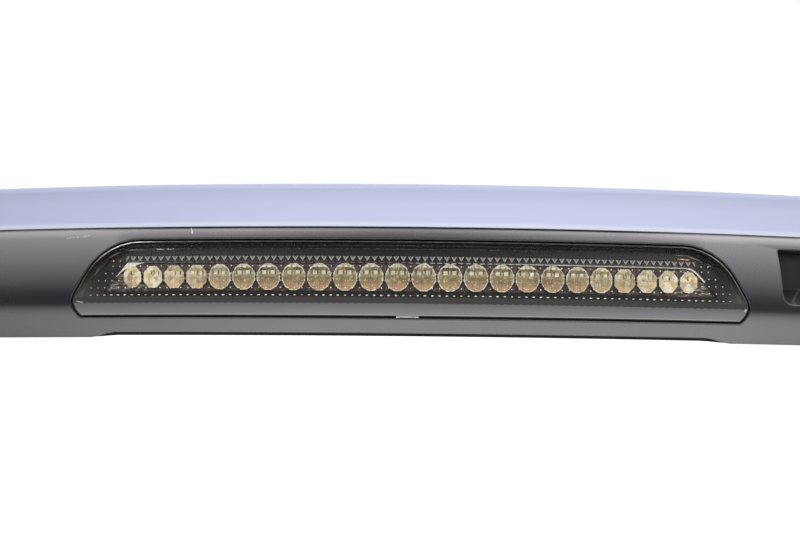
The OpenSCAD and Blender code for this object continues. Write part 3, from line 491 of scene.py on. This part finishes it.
# Bond beads, end caps and foam seals: what joins the shell to the skin and to the tailgate.
# The beads are dark adhesive, the caps are moulded with the shell, the seals are cut foam strip.
give("bond_beads", plain_finish("adhesive", (0.010, 0.010, 0.011), (0.022, 0.021, 0.021), 0.55, 700.0, 0.0002))
give("end_caps", black_shell)
foam = plain_finish("foam", (0.012, 0.012, 0.013), (0.030, 0.030, 0.032), 0.85, 1100.0, 0.0006)
give("front_seal", foam)
give("tailgate_seal", foam)
give("mount_washers", foam)

# Lens: one smoked acrylic moulding, flush with the shell and polished. It has ribs along its
# upper rim, a satin band over the crease, a grey facet below it and a few marks. Painted
# highlights lie on the ribs, the lower edge and some of the marks, and a painted reflection on the facet.
m = Finish("smoked_lens")
smoked = m.material
x_mm = m.times(m.x, 1000.0)
h_mm = m.times(m.height, 1000.0)
down = m.times(h_mm, -0.1)
cloud = m.noise(25.0, 3.0)
fine = m.noise(1500.0, 2.0)
band = m.under(h_mm, 4.1)
teeth = m.calc("PINGPONG", x_mm, 2.36)
below = m.under(m.scaled(fine, 0.5, m.scaled(teeth, 0.16, m.minus(h_mm, 0.6))), 0.0)
# Moulded ribs along the upper rim, broken in places; their pale colour is a painted highlight along each rib.
ribs_and_sheen = m.ramp(m.calc("SINE", m.times(h_mm, math.tau / 2.3)), [(0.70, 0.0), (0.98, 1.0)])
rib_break = m.ramp(m.noise(30.0, 2.0, (0.25, 1.0, 1.0)), [(0.40, 0.25), (0.62, 1.0)])
ribs_and_sheen = m.times(ribs_and_sheen, m.over(h_mm, 34.5), rib_break)
colour = m.mixed(m.times(ribs_and_sheen, 0.6), (0.004, 0.004, 0.004), (0.14, 0.13, 0.125))
colour = m.mixed(band, colour, m.mixed(fine, (0.040, 0.038, 0.038), (0.066, 0.063, 0.062)))
# The grey facet below the crease lightens downwards: partly the lens's own grey, partly a painted reflection of
# the floor.
facet_grey_and_reflection = m.ramp(down, [(0.05, (0.125, 0.124, 0.132)), (0.35, (0.175, 0.172, 0.180)),
                      (0.75, (0.235, 0.228, 0.232))])
colour = m.mixed(below, colour, m.mixed(m.times(cloud, 0.3), facet_grey_and_reflection, (0.15, 0.15, 0.16)))
# Painted highlight: a paler line along the lens's lower edge.
lower_edge_highlight = m.ramp(down, [(0.70, 0.0), (0.76, 1.0), (0.84, 1.0), (0.87, 0.4)])
colour = m.mixed(m.times(lower_edge_highlight, below, 0.6), colour, (0.42, 0.40, 0.40))
# Two short pale strips, and painted glints: a bright spot near each lower corner and two hair-thin lines near
# the upper corners.
pale_strips = m.most(m.scratch((-0.1685, 0.0350), (-0.1640, 0.0350), 0.0007),
              m.scratch((-0.1613, 0.0351), (-0.1568, 0.0351), 0.0007))
pale_strips = m.times(pale_strips, m.ramp(m.noise(1100.0, 1.0), [(0.46, 0.0), (0.56, 1.0)]))
left_spot = m.times(m.scratch((-0.2205, 0.0012), (-0.2160, 0.0006), 0.0006), 0.6)
right_spot = m.times(m.scratch((0.2210, -0.0014), (0.2216, 0.0004), 0.0012), 0.7)
glint = m.most(left_spot, right_spot, pale_strips)
hair_break = m.ramp(m.noise(240.0, 2.0), [(0.40, 0.05), (0.60, 0.5)])
for trail in (((-0.2101, 0.0178), (-0.1999, 0.0297), (-0.1944, 0.0327), (-0.1881, 0.0345), (-0.1771, 0.0346)),
              ((0.1761, 0.0346), (0.1830, 0.0344), (0.1909, 0.0317), (0.1987, 0.0277))):
    for start, end in zip(trail, trail[1:]):
        glint = m.most(glint, m.times(m.scratch(start, end, 0.00055), hair_break))
colour = m.mixed(m.times(glint, 0.8), colour, (0.80, 0.79, 0.77))
# A dashed amber line: a painted glint from the optics behind.
dashes = m.under(m.calc("FRACT", m.times(m.x, 280.0)), 0.62)
amber = m.times(m.scratch((0.1768, 0.0322), (0.1838, 0.0318), 0.0006), dashes)
colour = m.mixed(amber, colour, (0.95, 0.56, 0.24))
# The moulding is thicker and hazier in its two lower corners.
ends = m.ramp(m.times(m.size_of(x_mm), 0.004), [(0.76, 0.0), (0.90, 1.0)])
low_down = m.ramp(m.times(h_mm, 0.02), [(0.08, 1.0), (0.30, 0.55), (0.70, 0.0)])
haze = m.times(ends, low_down)
colour = m.mixed(m.times(haze, m.minus(1.0, band)), colour, (0.15, 0.138, 0.132))
alpha = m.scaled(band, 0.81, 0.11)
for cover, share in ((m.most(glint, amber), 0.7), (haze, 0.38), (ribs_and_sheen, 0.3)):
    alpha = m.scaled(cover, share, alpha, clamp=True)
rough = m.scaled(below, 0.16, m.scaled(cloud, 0.03, 0.035))
normal = m.bumped(fine, 0.000004, 0.3, m.rounded_edges(0.0008))
normal = m.bumped(ribs_and_sheen, 0.0002, 0.5, normal)
m.shaded(colour=colour, rough=rough, ior=1.5, gloss=0.34, alpha=alpha, normal=normal)

m = Finish("lens_rim")
lens_rim = m.material
fine = m.noise(300.0, 3.0)
# The rim's pale stretches, brightest at its upper left and weaker at its upper right, are a painted highlight.
shine = m.ramp(m.scaled(m.x, 2.0, 0.5),
               [(0.03, 0.03), (0.080, 0.08), (0.096, 0.60), (0.112, 1.0), (0.135, 0.80), (0.16, 0.20),
                (0.24, 0.06), (0.80, 0.05), (0.885, 0.12), (0.905, 0.30), (0.93, 0.14), (0.98, 0.08)])
patchy = m.scaled(m.ramp(fine, [(0.38, 0.0), (0.60, 1.0)]), 0.6, 0.4)
shine = m.times(shine, patchy, m.over(m.height, 0.0))
colour = m.mixed(shine, (0.01, 0.01, 0.01), (0.85, 0.85, 0.86))
normal = m.bumped(fine, 0.00002, 0.3)
m.shaded(colour=colour, rough=m.scaled(fine, 0.1, 0.12), ior=1.5, gloss=0.3, normal=normal)


def lens_slope(h):
    """The same lean for the lens, whose crease is nearly sharp."""
    bent = min(1.0, max(0.0, 0.5 - h / 0.0012))
    return 2 * FACE_LEAN * max(0.0, h) / FACE_TOP ** 2 - FACET_SLOPE * bent * bent * (3 - 2 * bent)


LENS_HALF = 0.24
LENS_STEP = 0.012
LENS_TOP = 0.06
LENS_RIM_W = 0.0007
LENS_RIM_BACK = 0.00025
LENS_WALL_D = 0.0085
LENS_FLANGE_D = 0.0008
LENS_HEIGHTS = [-0.009, -0.0075, -0.006, -0.0045, -0.003, -0.0018, -0.0008, 0.0, 0.0008, 0.0018, 0.003,
                0.006, 0.009, 0.012, 0.015, 0.018, 0.021, 0.024, 0.027, 0.030, 0.033, 0.036, 0.039]
bm = merged_copy("lamp_lens")
front = [f for f in bm.faces if f.normal.y < -0.4 and all(on_face(v.co, FACE_SLACK) for v in f.verts)]
ring = bmesh.ops.inset_region(bm, faces=front, thickness=LENS_RIM_W, use_even_offset=True)["faces"]
edge_points = {v for f in ring for v in f.verts} - {v for f in front for v in f.verts}
# The polished rim has its own look with a painted highlight; the walls and the flange behind it are matt black,
# painted shade.
for f in bm.faces:
    middle = f.calc_center_median()
    h = height_of(middle)
    behind = depth_of(middle) - face_d(h)
    outward = Vector((middle.x, 0.0, (h - 0.012) * 4))
    edge_wall = abs(f.normal.y) < 0.5 and f.normal.dot(outward) > 0 and behind < LENS_WALL_D
    flange = f.normal.y < -0.4 and behind > LENS_FLANGE_D
    f.material_index = 1 if f in ring else 2 if edge_wall or flange else 0
face_slices(bm, LENS_HALF, LENS_STEP, LENS_HEIGHTS, LENS_TOP)
for v in bm.verts:
    if v in edge_points:
        v.co.y += LENS_RIM_BACK
lens = make_object(bm, "smoked_acrylic_lens", smoked)
lens.data.materials.append(lens_rim)
lens.data.materials.append(matt_shade_black)
true_normals(lens, lens_slope, LENS_HALF, LENS_TOP)
# The lens and the prism panel are clear, so they throw no shadow on the optics.
for lets_light_by in ("visible_shadow", "visible_diffuse", "visible_glossy"):
    setattr(lens, lets_light_by, False)
    setattr(nodes["prism_panel"], lets_light_by, False)
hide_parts("lamp_lens")

# Prism panel: a clear acrylic sheet with rows of small square prisms on its back. Each shows as a
# bright point that its polished tip throws forward, a painted highlight: a pale bead in front of the tip,
# also a column or two past the sheet's ends.
PRISM_PITCH = 0.00472
PRISM_ROWS = 6
PRISM_MID = 0.0168
PRISM_LOW = PRISM_MID - PRISM_ROWS / 2 * PRISM_PITCH
m = Finish("clear_prisms")
clear_prisms = m.material
fine = m.noise(1300.0, 2.0)
column = m.scaled(m.x, 1.0 / PRISM_PITCH, 0.5)
aside = m.size_of(m.minus(m.calc("FRACT", column), 0.5))
level = m.scaled(m.height, 1.0 / PRISM_PITCH, -PRISM_LOW / PRISM_PITCH)
up = m.calc("FRACT", level)
in_top = m.over(level, 5.0)
# The top row's prisms show as pale hollow wedges on a dark ground: painted highlight and shade on their facets.
wedge = m.under(aside, m.scaled(up, 0.62, -0.14))
hollow = m.under(aside, m.scaled(up, 0.62, -0.30))
wedge = m.times(m.scaled(hollow, -0.62, wedge, clamp=True), in_top, m.under(up, 0.88))
seam = m.over(aside, 0.46)
pale = m.mixed(fine, (0.22, 0.21, 0.20), (0.75, 0.73, 0.68))
colour = m.mixed(m.times(wedge, 0.8), (0.02, 0.017, 0.015), pale)
alpha = m.most(m.times(wedge, 0.75), m.scaled(seam, 0.12, 0.03), m.times(in_top, 0.7))
normal = m.bumped(fine, 0.00001, 0.4)
m.shaded(colour=colour, rough=m.scaled(fine, 0.1, 0.05), alpha=alpha, normal=normal)
give("prism_panel", clear_prisms)

PRISM_HALF = 0.2147
OPTIC_A = math.radians(48.0)
SHEET_BACK = 0.00285
TIP_D = 0.0019
TIP_R = 0.0008
tip_light = plain_finish("prism_tip_glints", (0.88, 0.86, 0.80), (1.0, 0.98, 0.93), 0.22, 900.0, 0.00002, gloss=1.0)
low_d = face_d(PRISM_LOW)
high_d = face_d(PRISM_LOW + PRISM_ROWS * PRISM_PITCH)
bm = bmesh.new()
# Rows from the lowest up, each with the columns that it has more than the sheet's slope allows.
for j, more in enumerate((0, 1, 1, 1, 1, 2)):
    up = j + 0.5
    h = PRISM_LOW + up * PRISM_PITCH - (0.0012 if j == 5 else 0.0)
    depth = SHEET_BACK + TIP_D + low_d + (high_d - low_d) * up / PRISM_ROWS
    columns = int((PRISM_HALF - up * PRISM_PITCH / math.tan(OPTIC_A)) / PRISM_PITCH) + more
    wide, tall = (1.30, 0.50) if j == 0 else (0.62, 0.70) if j == 5 else (0.62, 0.62)
    for i in range(-columns, columns + 1):
        # Some tips catch more light than others, by a fixed rule.
        spread = 0.74 + 0.36 * abs(math.sin(12.9898 * i + 78.233 * j))
        spread *= 0.62 if j in (2, 3) and abs(i) < columns - 6 else 1.0
        made = bmesh.ops.create_icosphere(bm, subdivisions=1, radius=TIP_R)["verts"]
        bmesh.ops.scale(bm, verts=made, vec=(wide * spread, 0.8, tall * spread))
        bmesh.ops.translate(bm, verts=made, vec=rear_at(i * PRISM_PITCH, depth, h))
tips = make_object(bm, "prism_tip_glints", tip_light, 180.0)

# Pods: 24 cut optics in one champagne-tinted moulding, smaller towards the ends. Each is a crown
# with a bright rim, twelve-sided or, in the last four at each end, eight-sided, cut in small cells.
# The bright rim and the light and dark of the cells are painted highlights, shade and reflections.
LAMP_W = 0.4534
POD_W = 0.0379 * LAMP_W
POD_H = 0.0167
POD_HIGH = 0.0186
POD_GAP = 0.0008
POD_D = 0.0156
WEB_D = 0.0153
WEB_W = 0.0036
WEB_HIGH = 0.006
WEB_T = 0.0006


def dice(m, *numbers):
    """A random share from 0 to 1, the same wherever the three numbers are the same."""
    place = m.node("CombineXYZ", dict(enumerate(numbers))).outputs[0]
    return m.node("TexWhiteNoise", {"Vector": place}, noise_dimensions="3D").outputs["Value"]


m = Finish("champagne_optics")
champagne = m.material
across, up = m.node("SeparateXYZ", {0: m.node("UVMap", uv_map="UVMap").outputs[0]}).outputs[:2]
px = m.scaled(across, 2.0, -1.0)
pz = m.scaled(up, 2.0, -1.0)
radius = m.calc("SQRT", m.scaled(px, px, m.times(pz, pz)))
which = m.node("Attribute", attribute_name="pod").outputs["Fac"]
pane = m.calc("FLOOR", m.scaled(px, 2.2, 10.5))
storey = m.calc("FLOOR", m.scaled(pz, 2.6, 10.2))
luck = dice(m, pane, storey, which)
flecks = m.noise(700.0, 3.0)
streaks = m.noise(260.0, 2.0, (1.0, 1.0, 0.6))
# Bands of light and dark up each pod: the champagne colour with painted reflections of its cuts.
reflection_bands = m.ramp(m.scaled(pz, 0.5, 0.5),
              [(0.0, (0.58, 0.40, 0.22)), (0.20, (0.52, 0.32, 0.18)), (0.34, (0.30, 0.22, 0.12)),
               (0.50, (0.26, 0.20, 0.10)), (0.60, (0.46, 0.36, 0.19)), (0.70, (0.52, 0.41, 0.21)),
               (0.76, (0.09, 0.07, 0.03)), (0.83, (0.13, 0.10, 0.05)), (0.90, (0.56, 0.46, 0.28))])
# Two bright panes across the upper half and a row of bright tabs under the top: painted
# highlights, also given a sheen and a tilt towards the sky below.
panes = m.under(m.size_of(m.minus(pz, 0.33)), 0.14)
panes = m.times(panes, m.ramp(m.size_of(px), [(0.08, 0.2), (0.18, 1.0), (0.52, 1.0), (0.66, 0.05)]))
tabs = m.under(m.size_of(m.minus(pz, 0.775)), 0.085)
tabs = m.times(tabs, m.under(m.calc("FRACT", m.scaled(px, 2.2, 10.18)), 0.66))
bright = m.times(m.most(panes, tabs), m.ramp(luck, [(0.0, 0.45), (0.6, 1.0)]))
end_share = m.ramp(m.times(m.size_of(which), 0.08), [(0.52, 0.0), (0.86, 1.0)])
# Towards the ends the pods break up into eight cuts around a centre, painted light and dark as lit and shaded
# facets.
sector = m.calc("FLOOR", m.times(m.calc("ARCTAN2", pz, px), 8 / math.tau))
cut = dice(m, sector, m.over(radius, 0.55), which)
pale = m.mixed(m.ramp(streaks, [(0.40, 0.0), (0.62, 1.0)]), (0.94, 0.69, 0.36), (1.0, 0.88, 0.58))
pale = m.mixed(m.ramp(cut, [(0.12, 0.75), (0.34, 0.1), (0.85, 0.0)]), pale, (0.36, 0.27, 0.13))
pale = m.mixed(m.ramp(cut, [(0.70, 0.0), (0.80, 0.7)]), pale, (1.0, 0.96, 0.80))
facets = m.ramp(cut, [(0.2, 0.5), (0.5, 0.0), (0.8, 0.0), (0.9, 0.35)])
colour = m.mixed(m.times(facets, 0.8), reflection_bands, (0.62, 0.48, 0.26))
colour = m.mixed(bright, colour, (1.0, 0.96, 0.76))
colour = m.mixed(m.times(end_share, 0.9), colour, pale)
# Painted shadow in streaks across the pods.
shadow_streaks = m.ramp(streaks, [(0.52, 0.0), (0.66, 1.0)])
colour = m.mixed(m.times(shadow_streaks, 0.30), colour, (0.26, 0.21, 0.12))
# Painted glints in small flecks.
glint_flecks = m.ramp(flecks, [(0.58, 0.0), (0.68, 1.0)])
colour = m.mixed(m.times(glint_flecks, 0.5), colour, (1.0, 0.96, 0.80))
# Painted highlight round each pod's rim.
rim = m.times(m.over(radius, 0.91), m.ramp(flecks, [(0.40, 0.15), (0.56, 1.0)]))
colour = m.mixed(rim, colour, (1.0, 0.98, 0.86))
is_web = m.under(m.size_of(which), 0.5)
web_tone = m.mixed(m.ramp(flecks, [(0.50, 0.0), (0.60, 1.0)]), (0.10, 0.075, 0.068), (0.70, 0.66, 0.55))
colour = m.mixed(is_web, colour, web_tone)
lit_end = m.times(end_share, m.ramp(cut, [(0.55, 0.0), (0.65, 1.0)]))
lit = m.times(m.most(bright, lit_end), m.minus(1.0, is_web))
normal = m.bumped(flecks, 0.0002, 0.5)
normal = m.bumped(m.times(m.height, -0.42, lit), 1.0, 1.0, normal)
rough = m.scaled(flecks, 0.2, 0.12)
m.shaded(colour=colour, rough=rough, metal=m.scaled(lit, 0.35, 0.05), gloss=0.8, normal=normal)


def pod_size(i):
    return POD_W * (1 - 0.21 * (i / 11) ** 2.2)


bm = bmesh.new()
uv_layer = bm.loops.layers.uv.new("UVMap")
pod_number = bm.verts.layers.float.new("pod")
for side in (-1, 1):
    start = 0.0
    for i in range(12):
        wide = pod_size(i)
        x = side * (start + wide / 2)
        start += wide
        half_w, half_h = (wide - POD_GAP) / 2, POD_HIGH / 2 * wide / POD_W
        corners = 12 if i < 8 else 8
        made = bmesh.ops.create_circle(bm, cap_ends=True, segments=corners, radius=1.0)["verts"]
        bmesh.ops.rotate(bm, verts=made, matrix=Matrix.Rotation(math.pi / corners, 3, "Z"))
        crown = {f for v in made for f in v.link_faces}
        rings = set(made)
        for inset, rise in ((0.09, 0.0), (0.06, 0.0030), (0.28, 0.0052)):
            ring = bmesh.ops.inset_region(bm, faces=list(crown), thickness=inset)["faces"]
            rings |= {v for f in (*crown, *ring) for v in f.verts}
            for v in {v for f in crown for v in f.verts}:
                v.co.z = rise
        for f in {f for v in rings for f in v.link_faces}:
            for loop in f.loops:
                loop[uv_layer].uv = ((loop.vert.co.x + 1) / 2, (loop.vert.co.y + 1) / 2)
        for v in rings:
            v[pod_number] = (i + 1) * side
            v.co = rear_at(x + v.co.x * half_w, POD_D - v.co.z, POD_H + v.co.y * half_h)
        web_x = side * (start - WEB_W / 2 * (i == 11))
        for v in bmesh.ops.create_cube(bm, size=1.0)["verts"]:
            v[pod_number] = 0.0
            v.co = rear_at(web_x + v.co.x * WEB_W, WEB_D + v.co.y * WEB_T, POD_H + v.co.z * WEB_HIGH)
pods = make_object(bm, "cut_pods", champagne, 12.0)
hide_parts("pod_optics")

# Reflector tray and its bright rim: a dark brown moulding with a sunk tray behind the pods.
# Its upper edge is rolled, and the cream line where it catches the light is a painted highlight
# on a thin strip, brightest at the right.
m = Finish("tray_plastic")
tray_brown = m.material
fine = m.noise(600.0, 3.0)
to_centre = m.minus(REAR_Y + BOW_R, m.y)
arm = m.calc("SQRT", m.scaled(m.x, m.x, m.times(to_centre, to_centre)))
low_part = m.ramp(m.times(m.height, 20.0), [(0.13, 0.0), (0.16, 1.0), (0.53, 1.0), (0.57, 0.0)])
sunk = m.times(m.under(arm, BOW_R - 0.0148), low_part)
outer = m.mixed(fine, (0.008, 0.007, 0.0065), (0.024, 0.020, 0.018))
inner = m.mixed(m.ramp(fine, [(0.40, 0.0), (0.62, 1.0)]), (0.10, 0.075, 0.068), (0.22, 0.17, 0.15))
colour = m.mixed(sunk, outer, inner)
# Pale strands on the tray beside the outermost pods.
beside = m.ramp(m.times(m.size_of(m.x), 4.0), [(0.700, 0.0), (0.725, 1.0)])
strands = m.ramp(m.noise(800.0, 2.0, (0.22, 0.22, 1.0)), [(0.50, 0.0), (0.60, 1.0)])
colour = m.mixed(m.times(beside, strands, sunk), colour, (0.62, 0.56, 0.50))
m.shaded(colour=colour, rough=m.scaled(fine, 0.2, 0.2), gloss=0.5, normal=m.bumped(fine, 0.0001, 0.5))
give("reflector_tray", tray_brown)

m = Finish("tray_rim_highlight")
rim_light = m.material
flecks = m.noise(900.0, 3.0)
# The prisms break the line into dashes, except at its left end and towards the right.
dash = m.under(m.calc("FRACT", m.scaled(m.x, 1.0 / PRISM_PITCH, 100.3)), 0.64)
place = m.scaled(m.x, 2.0, 0.5)
joined = m.ramp(place, [(0.138, 1.0), (0.150, 0.0), (0.60, 0.0), (0.68, 1.0)])
level = m.ramp(place, [(0.100, 0.6), (0.112, 1.0), (0.138, 1.0), (0.150, 0.30), (0.46, 0.32), (0.54, 0.8),
                       (0.66, 1.0)])
level = m.times(level, m.most(dash, joined), m.ramp(flecks, [(0.30, 0.55), (0.60, 1.0)]))
colour = m.mixed(level, (0.04, 0.03, 0.025), (1.0, 0.96, 0.80))
normal = m.bumped(flecks, 0.0001, 0.4)
m.shaded(colour=colour, rough=m.scaled(flecks, 0.2, 0.1), gloss=0.8, normal=normal)

RIM_RUN = 0.1826
RIM_R = 0.012
RIM_END = 0.0206
RIM_H = 0.02635
RIM_D = 0.0088
RIM_LENGTH = RIM_RUN + RIM_R * OPTIC_A + RIM_END * 0.35


def rim_point(s):
    """Plan x, height and outward direction of the tray's rim, s metres along it from its middle."""
    side, a = (1 if s >= 0 else -1), abs(s)
    bend = min(max(a - RIM_RUN, 0.0), RIM_R * OPTIC_A) / RIM_R
    x = min(a, RIM_RUN) + RIM_R * math.sin(bend)
    h = RIM_H - RIM_R * (1 - math.cos(bend))
    rest = max(0.0, a - RIM_RUN - RIM_R * OPTIC_A)
    x, h = x + rest * math.cos(OPTIC_A), h - rest * math.sin(OPTIC_A)
    return side * x, h, side * math.sin(bend), math.cos(bend)


bm = bmesh.new()
bmesh.ops.create_grid(bm, x_segments=160, y_segments=1, size=1.0)
for v in bm.verts:
    s = v.co.x * RIM_LENGTH
    x, h, out_x, out_h = rim_point(s)
    # The painted highlight swells into a bright patch at its left end.
    patch = math.exp(-((s + 0.1868) / 0.0046) ** 2)
    width = (0.0007 if s < 0 else 0.0011) + 0.0030 * patch
    reach = v.co.y * width / 2 - (0.0016 * patch if v.co.y < 0 else 0.0)
    h += out_h * reach
    v.co = rear_at(x + out_x * reach, face_d(h) + RIM_D, h)
rim = make_object(bm, "tray_rim_highlight", rim_light, 180.0)

# Gate mark: the stub of the lens's injection gate, trimmed off by hand in the middle of its lower
# edge, with two bright cut ends.
GATE_H = -0.0088
GATE_D = 0.0004
GATE_T = 0.0006
bm = bmesh.new()
for x0, x1, tall in ((-0.0088, 0.0050, 0.0007), (-0.0092, -0.0068, 0.0011), (0.0030, 0.0054, 0.0011)):
    made = bmesh.ops.create_cube(bm, size=1.0)["verts"]
    edges = list({e for v in made for e in v.link_edges})
    cut = bmesh.ops.bevel(bm, geom=edges, offset=0.2, segments=2, profile=0.5, affect="EDGES", material=-1)
    for v in {v for f in cut["faces"] for v in f.verts}:
        d = face_d(GATE_H) + GATE_D + v.co.y * GATE_T
        v.co = rear_at((x0 + x1) / 2 + v.co.x * (x1 - x0), d, GATE_H + v.co.z * tall)
cut_acrylic = plain_finish("cut_acrylic", (0.40, 0.40, 0.40), (0.75, 0.75, 0.75), 0.3, 1500.0, 0.00005)
gate = make_object(bm, "gate_mark", cut_acrylic, 180.0)

# Inside the lamp: green board, white diodes, black resistors, zinc screws, black housing with
# a rubber gasket, the socket with its brass blades, and the breather plug.
board = plain_finish("board_laminate", (0.008, 0.060, 0.028), (0.014, 0.090, 0.040), 0.32, 900.0, 0.00003)
give("circuit_board", board)
give("led_chips", plain_finish("diode_body", (0.80, 0.78, 0.68), (0.90, 0.88, 0.80), 0.25, 1200.0, 0.00002))
give("resistors", plain_finish("chip_ceramic", (0.012, 0.012, 0.012), (0.03, 0.03, 0.03), 0.6, 2500.0, 0.00003))
zinc = plain_finish("zinc_steel", (0.50, 0.50, 0.51), (0.70, 0.70, 0.72), 0.32, 900.0, 0.00002,
                    metal=1.0, stretch=(1.0, 1.0, 5.0))
give("board_screws", zinc)
give("lamp_screws", zinc)
housing = plain_finish("housing_plastic", (0.016, 0.016, 0.017), (0.028, 0.028, 0.030), 0.55, 1500.0, 0.00008)
give("lamp_housing", housing)
give("connector_socket", housing)
give("mount_brackets", housing)
rubber = plain_finish("seal_rubber", (0.010, 0.010, 0.010), (0.022, 0.022, 0.022), 0.7, 1200.0, 0.00006)
give("lamp_gasket", rubber)
give("breather_plug", rubber)
brass = plain_finish("terminal_brass", (0.55, 0.40, 0.16), (0.72, 0.56, 0.26), 0.30, 900.0, 0.00002, metal=1.0)
give("socket_terminals", brass)
give("threaded_inserts", brass)
give("locating_pins", plain_finish("pin_plastic", (0.72, 0.71, 0.66), (0.82, 0.81, 0.77), 0.45, 800.0, 0.00004))
